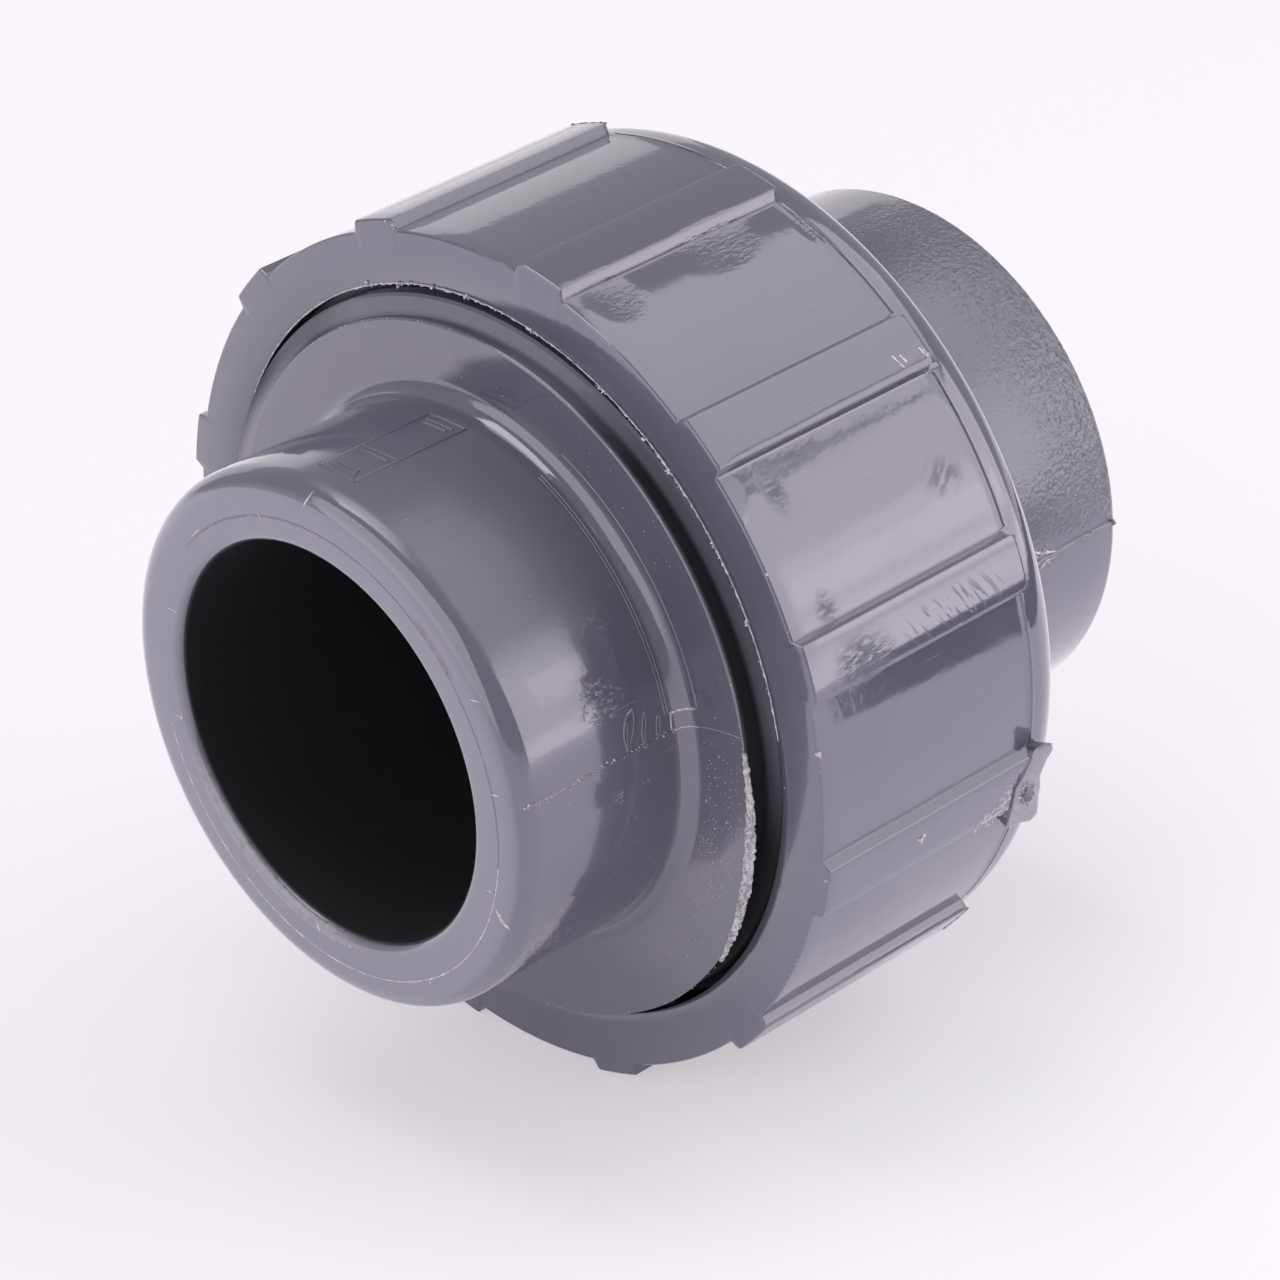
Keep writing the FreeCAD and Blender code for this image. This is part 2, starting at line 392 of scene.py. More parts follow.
def hub_surface(x):
    """The front hub's radius at x, with its rounded rim."""
    past = min(max(hub_rim_rounding - face_x - x, 0.0), hub_rim_rounding)
    return hub_radius - hub_rim_rounding + math.sqrt(hub_rim_rounding ** 2 - past ** 2)


def feed(tree, socket, value):
    if isinstance(value, bpy.types.NodeSocket):
        tree.links.new(value, socket)
    else:
        socket.default_value = value


def add_node(tree, kind, inputs=None, output=0, **settings):
    """A new node with its settings and inputs, and the socket of one output."""
    made = tree.nodes.new(kind)
    for name, value in settings.items():
        setattr(made, name, value)
    for name, value in (inputs or {}).items():
        feed(tree, made.inputs[name], value)
    return made.outputs[output] if made.outputs else None


class Shader:
    """One material, and short hand for its nodes. A mask is a socket from 0 to 1, and places
    are in mm."""

    def __init__(self, name, coat=0.0, tint=(1, 1, 1, 1)):
        self.material = bpy.data.materials.new(name)
        self.material.use_nodes = True
        self.tree = self.material.node_tree
        self.surface = self.tree.nodes["Principled BSDF"]
        self.coat, self.tint, self.relief = coat, tint, 0.0
        place = self.node("ShaderNodeTexCoord", output="Object")
        in_mm = {"Vector": place, "Scale": 1000.0}
        self.place = self.node("ShaderNodeVectorMath", in_mm, operation="SCALE")
        axes = self.tree.nodes.new("ShaderNodeSeparateXYZ")
        feed(self.tree, axes.inputs[0], self.place)
        self.x, y, z = axes.outputs
        square = self.math("ADD", self.math("MULTIPLY", y, y), self.math("MULTIPLY", z, z))
        self.radius = self.math("SQRT", square)
        turn = self.math("DEGREES", self.math("ARCTAN2", z, y))
        self.angle = self.math("WRAP", turn, 360.0, 0.0)
        self.unrolled = self.node("ShaderNodeCombineXYZ", {"X": self.x, "Y": self.angle})

    def node(self, kind, inputs=None, output=0, **settings):
        return add_node(self.tree, kind, inputs, output, **settings)

    def math(self, operation, first, second=0.0, third=0.0):
        return self.node("ShaderNodeMath", {0: first, 1: second, 2: third}, operation=operation)

    def fade(self, value, low, high):
        """0 at low, 1 at high, smooth between."""
        inputs = {"Value": value, "From Min": low, "From Max": high}
        return self.node("ShaderNodeMapRange", inputs, interpolation_type="SMOOTHSTEP")

    def band(self, value, centre, half, edge):
        """1 within half of centre, fading out over edge."""
        away = self.math("ABSOLUTE", self.math("SUBTRACT", value, centre))
        return self.fade(away, half + edge, half)

    def sector(self, angle, half, edge):
        """A band round an angle, that may not reach past 0 or 360."""
        return self.band(self.angle, angle, half, edge)

    def spot(self, x, half_x, angle, half_angle, core=0.45):
        """A soft oval patch on a cylinder."""
        sizes, offsets = (1 / half_x, 1 / half_angle, 0), (-x / half_x, -angle / half_angle, 0)
        from_middle = {0: self.unrolled, 1: sizes, 2: offsets}
        away = self.node("ShaderNodeVectorMath", from_middle, operation="MULTIPLY_ADD")
        away = self.node("ShaderNodeVectorMath", {0: away}, output="Value", operation="LENGTH")
        return self.fade(away, 1.0, core)

    def spots(self, *places):
        return self.any(*[self.spot(*place) for place in places])

    def both(self, *masks):
        total = masks[0]
        for mask in masks[1:]:
            total = self.math("MULTIPLY", total, mask)
        return total

    def any(self, *masks):
        total = masks[0]
        for mask in masks[1:]:
            total = self.math("MAXIMUM", total, mask)
        return total

    def noise(self, scale, detail=2.0, stretch=(1, 1, 1), where=None):
        """Noise with features about 1 / scale mm across."""
        place = self.node("ShaderNodeMapping", {"Vector": where or self.place, "Scale": stretch})
        inputs = {"Vector": place, "Scale": scale, "Detail": detail}
        return self.node("ShaderNodeTexNoise", inputs)

    def blotches(self, scale, detail, low, high, stretch=(1, 1, 1), where=None):
        """A mask where noise is above high, fading out to low."""
        return self.fade(self.noise(scale, detail, stretch, where), low, high)

    def slanted(self, turn, length, width):
        """The surface laid flat, with features of this length and width that lie turned."""
        arc = self.math("MULTIPLY", self.math("RADIANS", self.angle), self.radius)
        flat = self.node("ShaderNodeCombineXYZ", {"X": self.x, "Y": arc, "Z": self.radius})
        turned = {"Vector": flat, "Rotation": (0, 0, math.radians(turn)), "Scale": (length, width, 1)}
        return self.node("ShaderNodeMapping", turned, vector_type="TEXTURE")

    def mix(self, mask, below, above):
        inputs = {0: mask, 6: below, 7: above}
        return self.node("ShaderNodeMix", inputs, output=2, data_type="RGBA")

    def blend(self, mask, below, above):
        return self.node("ShaderNodeMix", {0: mask, 2: below, 3: above}, data_type="FLOAT")

    def paint(self, mask, colour, share=1.0):
        """Lay a colour over what is there, share thick where mask is 1."""
        self.colour = self.mix(self.both(mask, share), self.colour, colour)

    def roughen(self, mask, roughness):
        self.roughness = self.blend(mask, self.roughness, roughness)

    def dull(self, mask, coat, tint):
        """Take the gloss away where mask is 1."""
        self.coat = self.blend(mask, self.coat, coat)
        self.tint = self.mix(mask, self.tint, (tint, tint, tint, 1))

    def raised(self, height, depth):
        """Add fine relief that stands depth mm high where height is 1."""
        self.relief = self.math("MULTIPLY_ADD", height, depth, self.relief)

    def finish(self):
        relief = {"Height": self.relief, "Distance": 0.001, "Strength": 1.0}
        normal = self.node("ShaderNodeBump", relief)
        looks = {"Base Color": self.colour, "Roughness": self.roughness, "Normal": normal,
                 "Coat Normal": normal, "Coat Weight": self.coat, "Specular Tint": self.tint}
        for name, value in looks.items():
            feed(self.tree, self.surface.inputs[name], value)
        return self.material


def plastic(name):
    """The start of a moulded plastic: its mottled colour, gloss, orange peel and hairlines."""
    shader = Shader(name, 0.8, plastic_tint)
    for socket, value in (("IOR", 1.52), ("Specular IOR Level", 1.0), ("Coat Roughness", 0.06)):
        shader.surface.inputs[socket].default_value = value
    shader.colour = shader.mix(shader.noise(0.12, 3.0), plastic_dark, plastic_light)
    smudge = shader.blotches(0.22, 4.0, 0.42, 0.72)
    shader.roughness = shader.math("MULTIPLY_ADD", smudge, 0.07, 0.09)
    hairlines = shader.blotches(1.0, 2.0, 0.70, 0.76, (0.16, 5.5, 5.5))
    shader.paint(hairlines, worn_colour, 0.5)
    shader.roughen(shader.both(hairlines, 0.6), 0.4)
    shader.raised(shader.noise(0.16, 1.5), 0.035)
    shader.raised(shader.noise(1.5, 2.5), 0.006)
    return shader


def away_from_top(shader):
    """Less than 1 along the top, where light falls into the gaps."""
    return shader.blend(shader.sector(92.0, 24.0, 16.0), 1.0, 0.45)


def paint_shade_inside(shader, inside):
    """Painted shade: dull and dark inside the bores and gaps, where little light reaches."""
    shader.dull(inside, 0.06, 0.24)
    shader.paint(inside, painted_shade_colour)
    shader.roughen(inside, 0.65)


def end_plastic():
    """The threaded end: a worn ring on its face, a rubbed bore edge, grime, a stain, and painted shade
    in its bore and on its thread inside the nut.
    """
    shader = plastic("pvc_threaded_end")
    grains = shader.both(
        shader.blotches(4.8, 2.0, 0.60, 0.66),
        shader.band(shader.x, -17.9, 0.7, 0.8),
        shader.sector(160.0, 26.0, 20.0),
    )
    shader.paint(grains, dust_colour, 0.8)
    shader.paint(shader.spot(-29.6, 1.3, 212.0, 6.5), stain_colour, 0.30)
    on_face = shader.fade(shader.x, -33.0, -33.3)
    shader.paint(on_face, cut_face_colour, 0.62)
    past = shader.math("SUBTRACT", shader.angle, 225.0)
    swing = shader.math("COSINE", shader.math("RADIANS", past))
    off_centre = shader.math("MULTIPLY_ADD", swing, -0.42, shader.radius)
    wobble = shader.math("MULTIPLY_ADD", shader.noise(0.8, 3.0), 0.22, off_centre)
    ring = shader.both(
        on_face,
        shader.band(wobble, 19.53, 0.05, 0.09),
        shader.sector(120.0, 62.0, 20.0),
        shader.blotches(0.8, 3.0, 0.30, 0.50),
    )
    smear = shader.both(
        on_face,
        shader.band(wobble, 19.85, 0.16, 0.26),
        shader.sector(138.5, 5.0, 5.0),
        shader.noise(1.6, 3.0),
    )
    shader.paint(shader.any(ring, smear), dirt_and_shade_colour, 0.85)
    rubbed = shader.both(
        shader.fade(shader.x, -32.2, -33.2),
        shader.band(shader.radius, 17.35, 0.42, 0.35),
        shader.sector(303.0, 26.0, 18.0),
        shader.blotches(1.4, 4.0, 0.26, 0.52),
    )
    shader.paint(rubbed, rubbed_colour, 0.42)
    shader.roughen(rubbed, 0.32)
    scuffs = shader.both(
        shader.spots(
            (-23.5, 3.2, 163.0, 5.5), (-21.6, 1.6, 149.0, 3.5), (-23.6, 0.9, 183.0, 3.0),
            (-20.6, 0.8, 182.5, 1.8), (-28.5, 3.5, 216.0, 5.0),
        ),
        shader.blotches(2.2, 4.0, 0.52, 0.66, (0.8, 1.6, 1.6)),
    )
    shader.paint(scuffs, worn_colour, 0.55)
    shader.roughen(scuffs, 0.42)
    shader.raised(scuffs, 0.012)
    haze = shader.both(
        shader.sector(118.0, 24.0, 12.0),
        shader.fade(shader.radius, 22.2, 22.5),
        shader.fade(shader.x, -17.6, -18.6),
    )
    shader.dull(haze, 0.12, 0.85)
    shader.roughen(haze, 0.34)
    ridge = shader.both(
        shader.fade(shader.radius, thread_root_radius + 0.1, thread_root_radius + 0.5),
        shader.sector(115.0, 68.0, 14.0),
    )
    uneven_x = shader.math("MULTIPLY_ADD", shader.noise(0.6, 3.0), 1.6, shader.x)
    in_gap = shader.both(
        shader.fade(shader.x, shoulder_x + 0.10, shoulder_x + 0.5),
        shader.fade(uneven_x, -10.9, -12.5),
        away_from_top(shader),
        shader.blend(ridge, 1.0, 0.62),
    )
    in_bore = shader.both(
        shader.fade(shader.radius, socket_radius + 0.35, socket_radius + 0.1),
        shader.fade(shader.x, -face_x + 0.3, -face_x + 0.9),
    )
    # Painted shade inside the bore and on the thread in the gap behind the disc
    paint_shade_inside(shader, shader.any(in_gap, in_bore))
    specks = shader.both(in_bore, shader.blotches(5.5, 2.0, 0.69, 0.75))
    shader.paint(specks, dust_colour, 0.6)
    return shader.finish()


def nut_plastic():
    """The nut: grime in its seam, rippled patches from moulding, drag marks, a torn scar, and painted
    shade inside it and in the crevice in front of the gate.
    """
    shader = plastic("pvc_union_nut")
    grime = ((142.0, 3.2), (121.0, 0.8), (117.0, 0.8), (93.0, 1.4), (81.0, 1.8))
    seam = shader.both(
        shader.band(shader.x, parting_line_x, 0.06, 0.12),
        shader.any(*[shader.sector(angle, half, 1.0) for angle, half in grime]),
        shader.blotches(0.9, 3.0, 0.36, 0.55),
    )
    shader.paint(seam, dirt_and_shade_colour, 0.85)
    dents = shader.spots(
        (-10.8, 2.9, 112.6, 5.2, 0.1), (0.4, 4.8, 111.6, 5.4, 0.1), (8.0, 0.9, 114.5, 4.0, 0.1),
    )
    rough_spots = shader.spots(
        (-10.6, 1.5, 143.5, 4.6, 0.1), (-10.6, 1.5, 159.0, 3.0, 0.1), (-9.2, 3.9, 166.4, 4.4, 0.3),
    )
    ripples = shader.noise(2.6, 2.0, (0.55, 1.3, 1.3))
    shader.raised(dents, -0.11)
    shader.raised(shader.both(ripples, shader.any(dents, rough_spots)), 0.05)
    grimy = shader.both(rough_spots, shader.blotches(2.4, 3.0, 0.34, 0.56, (0.5, 1.2, 1.2)))
    shader.dull(grimy, 0.1, 0.42)
    shader.roughen(grimy, 0.32)
    smudge = shader.both(
        shader.spot(4.7, 2.6, 151.4, 3.4, 0.2),
        shader.blotches(1.6, 3.0, 0.42, 0.58, where=shader.slanted(-38.0, 2.4, 0.7)),
    )
    shader.dull(smudge, 0.2, 0.5)
    shader.roughen(smudge, 0.34)
    on_bar = shader.fade(shader.radius, 36.0, 36.3)
    drag = shader.both(
        shader.spot(0.8, 7.5, 166.4, 3.6, 0.4),
        on_bar,
        shader.blotches(1.0, 2.0, 0.575, 0.63, where=shader.slanted(60.0, 2.6, 0.30)),
    )
    shader.raised(drag, -0.02)
    shader.dull(drag, 0.15, 0.5)
    scar = shader.both(
        shader.spots((4.0, 2.0, 198.6, 2.2, 0.5), (5.6, 1.2, 197.2, 3.8, 0.5)),
        shader.blotches(1.3, 3.0, 0.30, 0.42),
        shader.fade(shader.x, 6.4, 6.2),
        on_bar,
    )
    shreds = shader.blotches(2.6, 4.0, 0.40, 0.60)
    shader.paint(shader.both(scar, shader.math("MULTIPLY_ADD", shreds, 0.38, 0.08)), torn_white)
    shader.roughen(scar, 0.5)
    shader.raised(shader.both(scar, shader.noise(2.4, 4.0)), 0.22)
    # Painted shade in the crevice between the torn scar and the gate
    crevice_shade = shader.both(
        shader.band(shader.x, 6.33, 0.13, 0.08),
        shader.sector(197.4, 2.2, 0.8),
        on_bar,
    )
    shader.paint(crevice_shade, crevice_shade_colour)
    # Painted shade inside the nut's bore and thread, less of it along the top
    within = shader.both(
        shader.fade(shader.radius, nut_bore_radius + 0.45, nut_bore_radius + 0.15),
        shader.fade(shader.x, nut_front_x + 0.15, nut_front_x + 0.6),
        shader.fade(shader.x, nut_rear_x - 0.2, nut_rear_x - 0.8),
        away_from_top(shader),
    )
    paint_shade_inside(shader, within)
    return shader.finish()


def gate_plastic():
    """The torn gate: paler and streaky where it stretched, lifted further with painted light, and
    painted shade at the crater's bottom.
    """
    shader = plastic("pvc_union_nut_gate")
    gate = shader.both(
        shader.band(shader.x, 7.85, 1.45, 0.10),
        shader.sector(gate_angle, 6.4, 0.6),
        shader.fade(shader.radius, 36.44, 36.52),
    )
    # Pale streaky tone over the whole gate, partly stretched plastic and partly painted light on its
    # front
    shader.paint(gate, shader.mix(shader.noise(1.6, 4.0), gate_dark_lit, gate_pale_lit), 0.85)
    shader.roughen(gate, 0.36)
    shader.dull(gate, 0.2, 0.8)
    shader.raised(shader.both(gate, shader.noise(2.4, 4.0)), 0.09)
    # Painted shade at the bottom of the crater
    crater_shade = shader.both(
        shader.spot(7.40, 0.45, gate_angle + 0.4, 1.3, 0.5),
        shader.fade(shader.radius, 36.5, 36.6),
        shader.blotches(2.4, 3.0, 0.36, 0.52),
    )
    shader.paint(crater_shade, dirt_and_shade_colour, 0.9)
    return shader.finish()


def tail_plastic():
    """The tailpiece: its hub is grained, and coarser towards its rim."""
    shader = plastic("pvc_tailpiece")
    zone = shader.both(shader.sector(138.0, 36.0, 12.0), shader.fade(shader.radius, 21.8, 22.4))
    coarse = shader.both(zone, shader.fade(shader.x, 22.0, 31.0))
    shader.raised(shader.both(zone, shader.noise(3.4, 3.0)), 0.06)
    shader.raised(shader.both(coarse, shader.noise(2.3, 1.5)), 0.22)
    shader.roughen(zone, 0.2)
    shader.dull(zone, 0.4, 0.9)
    return shader.finish()


def torn_plastic():
    """Stretched and whitened plastic on torn edges."""
    shader = Shader("torn_plastic")
    streak = shader.blotches(2.4, 4.0, 0.30, 0.72)
    shader.colour = shader.mix(streak, torn_grey, torn_white)
    shader.roughness = shader.math("MULTIPLY_ADD", streak, 0.2, 0.35)
    shader.raised(shader.noise(6.0, 3.0), 0.03)
    return shader.finish()


def seal_rubber():
    """The sealing ring: matt black with a grey bloom."""
    shader = Shader("rubber")
    bloom = shader.blotches(3.0, 3.0, 0.4, 0.7)
    shader.colour = shader.mix(bloom, (0.012, 0.012, 0.012, 1), (0.026, 0.025, 0.024, 1))
    shader.roughness = shader.math("MULTIPLY_ADD", bloom, 0.15, 0.5)
    shader.raised(shader.noise(5.0, 2.0), 0.01)
    return shader.finish()


def threaded_end(material):
    """The front moulding: socket, hub, disc and the thread on its bed."""
    entry_x = -face_x + socket_entry_rounding
    rim_x = -face_x + hub_rim_rounding
    rim_radius = hub_radius - hub_rim_rounding
    entry_radius = socket_radius + socket_entry_rounding
    fillet_radius = hub_radius + shoulder_fillet
    fillet_x = shoulder_x - shoulder_fillet
    edge = edge_rounding
    section = outline([
        (0, waterway_radius),
        (-stop_x, waterway_radius),
        (-stop_x, socket_radius),
        (entry_x, socket_radius),
        ((-face_x, entry_radius), (entry_x, entry_radius)),
        (-face_x, rim_radius),
        ((rim_x, hub_radius), (rim_x, rim_radius)),
        (fillet_x, hub_radius),
        ((shoulder_x, fillet_radius), (fillet_x, fillet_radius)),
        (shoulder_x, thread_root_radius - edge),
        ((shoulder_x + edge, thread_root_radius), (shoulder_x + edge, thread_root_radius - edge)),
        (-thread_lead_chamfer, thread_root_radius),
        (0, thread_root_radius - thread_lead_chamfer),
        (0, ring_groove[1]),
        (-ring_groove_depth, ring_groove[1]),
        (-ring_groove_depth, ring_groove[0]),
        (0, ring_groove[0]),
    ])
    x, radius, angles = turned_grids(section)
    near_shoulder = np.abs(x - shoulder_x) <= edge + 0.001
    rim = near_shoulder & (radius >= thread_root_radius - edge - 0.001)
    # The disc's edge is worn round on top and sharp below
    rounded = np.interp(angles, [25, 55, 165, 185], [0.05, 1.0, 1.0, 0.05])[None, :]
    x = np.where(rim, shoulder_x + (x - shoulder_x) * rounded, x)
    worn_radius = thread_root_radius + (radius - thread_root_radius) * rounded
    radius = np.where(rim, worn_radius, radius)
    turned_piece("threaded_end_body", x, radius, angles, "threaded_end", material)
    root = thread_root_radius - thread_embed
    crest = thread_root_radius + thread_height
    middle = thread_base_width / 2
    round_off = thread_crest_rounding
    profile = np.array([
        (middle - half_width(root), root),
        (middle - half_width(crest - round_off), crest - round_off),
        (middle - half_width(crest) + round_off, crest),
        (middle + half_width(crest) - round_off, crest),
        (middle + half_width(crest - round_off), crest - round_off),
        (middle + half_width(root), root),
    ])
    taper_x = male_thread_end_x - thread_height - thread_embed
    swept_thread("threaded_end_thread", profile, shoulder_x + 0.004, male_thread_end_x, taper_x,
                 "threaded_end", material)


def bar_columns():
    """Angles round the nut with close stations at each bar's sides, how far the surface rises
    there, from 0 between the bars to 1 on their tops, and how far off a bar's middle it is."""
    side = np.array([(2.78, 0.0), (2.63, 0.02), (2.56, 0.07), (2.25, 0.86), (2.17, 0.965), (2.04, 1.0)])
    far_off = 9.0
    offsets = np.concatenate([-side[:, 0], [-1.2, 0.0, 1.2], side[::-1, 0]])
    rises = np.concatenate([side[:, 1], [1.0, 1.0, 1.0], side[::-1, 1]])
    reach = math.degrees(side[0, 0] / nut_radius)
    between = np.linspace(reach, 30 - reach, 12)[1:-1]
    angles, rise, offset = [], [], []
    for centre in bar_angles:
        angles += list(centre + np.degrees(offsets / nut_radius)) + list(centre + between)
        rise += list(rises) + [0.0] * len(between)
        offset += list(offsets) + [far_off] * len(between)
    return np.array(angles), np.array(rise), np.array(offset)


def union_nut(material):
    """The collar, its bars raised out of one surface with it."""
    angles, rise, offset = bar_columns()
    shoulder_radius = nut_radius - nut_shoulder_rounding
    shoulder_start_x = nut_rear_x - nut_shoulder_rounding
    lip_edge_radius = nut_lip_radius + nut_lip_chamfer
    cavity_x, cavity_radius = nut_lip_x - nut_cavity_rounding, nut_bore_radius - nut_cavity_rounding
    edge = edge_rounding
    inside = outline([
        (nut_rear_x, lip_edge_radius),
        (nut_rear_x - nut_lip_chamfer, nut_lip_radius),
        (nut_lip_x, nut_lip_radius),
        (nut_lip_x, cavity_radius),
        ((cavity_x, nut_bore_radius), (cavity_x, cavity_radius)),
        (nut_front_x + nut_mouth_chamfer_depth, nut_bore_radius),
        (nut_front_x, nut_bore_radius + nut_mouth_chamfer_width),
        (nut_front_x, nut_radius - edge),
    ])
    inside = inside[:np.argmax(inside[:, 1] > nut_radius - edge - 1e-6) + 1]
    rows = []

    def add(x, radius, lift):
        rows.append([np.broadcast_to(value, angles.shape) for value in (x, radius, lift)])

    for x, radius in inside[:-1]:
        add(x, radius, 0.0)
    for turn in np.linspace(0, 1, 5) * math.pi / 2:
        add(nut_front_x + edge * (1 - math.cos(turn)), nut_radius - edge * (1 - math.sin(turn)), 1.0)

    past_corner = np.abs(offset) - (bar_half_top - bar_end_rounding)
    past_corner = np.clip(past_corner, 0, bar_end_rounding)
    end_x = bar_end_x - (bar_end_rounding - np.sqrt(bar_end_rounding ** 2 - past_corner ** 2))
    for x in np.linspace(nut_front_x + edge, parting_line_x - 1.0, 14)[1:]:
        add(x, nut_radius, 1.0)
    on_bar = rise > 0
    groove = [(-0.34, 0.0), (-0.24, 0.025), (-0.14, 0.03), (-0.06, -0.05), (0.0, -0.07),
              (0.06, -0.05), (0.14, 0.03), (0.24, 0.025), (0.34, 0.0)]
    for index, (along, deep) in enumerate(groove):
        x = np.where(on_bar, end_x - 0.45 + index * 0.02, parting_line_x + along)
        add(x, nut_radius + deep * (1 - on_bar), 1.0)
    ends = [(-0.25, 1.0), (-0.09, 0.975), (-0.02, 0.88), (0.06, 0.10), (0.14, 0.02), (0.26, 0.0)]
    for index, (along, lift) in enumerate(ends):
        x = np.where(on_bar, end_x + along, parting_line_x + 0.38 + 0.03 * index)
        add(x, nut_radius, lift)
    start = np.where(on_bar, end_x + 0.3, parting_line_x + 0.6)
    start = np.maximum(start, shoulder_start_x + 0.15)
    for share in np.linspace(0, 1, 13):
        turn = share * math.pi / 2
        x = shoulder_start_x + nut_shoulder_rounding * math.sin(turn)
        radius = shoulder_radius + nut_shoulder_rounding * math.cos(turn)
        add(np.maximum(x, start) if share < 0.05 else x, radius, 0.0)
    add(nut_rear_x, (shoulder_radius + lip_edge_radius) / 2, 0.0)

    x, radius, lift = np.array(rows).transpose(1, 0, 2)
    radius = radius + lift * rise[None, :] * bar_height
    turned_piece("union_nut_body", x, radius, angles, "union_nut", material)
    outer = nut_bore_radius + thread_embed
    crest = thread_root_radius + thread_clearance
    middle = (thread_base_width + thread_pitch) / 2

    def gap_half(radius):
        return thread_pitch / 2 - half_width(radius) - thread_clearance

    profile = np.array([
        (middle + gap_half(outer), outer),
        (middle + gap_half(crest), crest),
        (middle - gap_half(crest), crest),
        (middle - gap_half(outer), outer),
    ])
    swept_thread("union_nut_thread", profile, nut_thread_first_x, nut_thread_last_x, None,
                 "union_nut", material)


def tailpiece(material):
    """The rear moulding: flange, hub and socket."""
    entry_x = face_x - socket_entry_rounding
    rim_x = face_x - rear_rim_rounding
    rim_radius = hub_radius - rear_rim_rounding
    entry_radius = socket_radius + socket_entry_rounding
    section = outline([
        (0, waterway_radius),
        (stop_x, waterway_radius),
        (stop_x, socket_radius),
        (entry_x, socket_radius),
        ((face_x, entry_radius), (entry_x, entry_radius)),
        (face_x, rim_radius),
        ((rim_x, hub_radius), (rim_x, rim_radius)),
        (flange_x, hub_radius),
        (flange_x, flange_radius),
        (flange_chamfer, flange_radius),
        (0, flange_radius - flange_chamfer),
    ])
    turned_piece("tailpiece_body", *turned_grids(section[::-1]), "tailpiece", material)


def hub_marks(plastic_material, torn_material):
    """What is raised on the front hub: the mould seam, three leaf-shaped ticks, a small
    window by the disc and an empty frame on top."""
    marks = Relief(3)
    seam = [(-31.9, 175.2), (-30.2, 175.5), (-26.0, 175.2), (-22.0, 175.4), (-17.4, 175.2)]
    marks.on_barrel(seam, hub_radius, 0.22, (0.03, 0.09), 0.3)
    leaves = [
        [(-22.2, 174.8), (-22.3, 171.6), (-21.96, 169.1), (-21.5, 167.8), (-20.9, 167.2),
         (-21.0, 169.6), (-21.4, 171.8), (-21.9, 173.9), (-22.2, 174.8)],
        [(-21.7, 169.2), (-22.2, 174.4)],
        [(-20.5, 175.1), (-20.5, 172.5), (-20.2, 170.4), (-19.9, 168.6), (-19.9, 170.8),
         (-20.2, 173.1), (-20.4, 175.1)],
        [(-19.0, 175.3), (-19.05, 173.5), (-18.8, 171.4), (-18.6, 170.7), (-18.5, 171.7),
         (-18.7, 173.9), (-18.8, 175.2)],
    ]
    for leaf in leaves:
        marks.on_barrel(leaf, hub_radius, 0.16, 0.09, 0.12)
    fillet_angles = (118.0, 135.0, 150.0, 171.4)
    for x, width, height in ((-17.62, 0.16, 0.07), (-17.62 - 0.30, 0.12, 0.045)):
        marks.on_barrel([(x, angle) for angle in fillet_angles], hub_radius, width, height, 0.4)
    outer = [(hub_radius + shoulder_fillet + 0.06, angle) for angle in fillet_angles]
    marks.on_face(outer, shoulder_x, 0.28, 0.07, 0.4)
    frame_lines = [
        [(-30.0, 88.8), (-30.0, 98.8)], [(-30.0, 98.8), (-18.7, 99.2)],
        [(-18.7, 99.2), (-18.8, 89.3)], [(-18.8, 89.3), (-30.0, 88.8)],
        [(-25.7, 89.4), (-25.6, 98.6)], [(-29.3, 90.2), (-29.3, 97.4)],
        [(-28.8, 90.8), (-28.8, 96.8)], [(-19.6, 90.6), (-19.5, 97.8)],
        [(-20.1, 91.2), (-20.0, 97.2)], [(-26.3, 90.4), (-26.2, 97.8)],
    ]
    for places in frame_lines:
        marks.on_barrel(places, hub_radius, 0.26, 0.12, 0.2)
    marks.piece("hub_marks", "threaded_end", plastic_material)

    flecks = Relief(5)
    uniform, normal = flecks.chance.uniform, flecks.chance.normal
    window = [(-17.55, 175.2), (-17.5, 173.4), (-17.4, 172.0)]
    flecks.on_barrel(window, hub_radius + 0.02, 0.12, 0.08, 0.15)
    fillet_x, fillet_radius = shoulder_x - shoulder_fillet, hub_radius + shoulder_fillet
    for angle, thick in ((171.7, 0.22), (175.3, 0.12)):
        turns = np.radians(np.linspace(2, 88, 12))
        x = fillet_x + shoulder_fillet * np.sin(turns)
        path = around(x, fillet_radius - shoulder_fillet * np.cos(turns), angle)
        normals = outwards(angle) * np.cos(turns)[:, None]
        normals[:, 0] = -np.sin(turns)
        flecks.line(path, normals, thick, (0.05, 0.14))
    seam = [(24.1, 175.2), (25.2, 174.9), (26.6, 174.8), (28.6, 175.0)]
    flecks.on_face(seam, shoulder_x, 0.035, 0.008)
    for _ in range(110):
        x = -33 + 16 * flecks.chance.random()
        angle = 175.3 + normal(0, 0.25)
        size = 0.06 + 0.16 * flecks.chance.random() ** 2
        flecks.barrel_crumb(x, hub_surface(x) + 0.02, angle, size)
    for _ in range(45):
        flecks.barrel_crumb(uniform(-31, -18), hub_radius, uniform(85, 235), uniform(0.04, 0.10), 0.4)
    flecks.piece("hub_flecks", "threaded_end", torn_material)


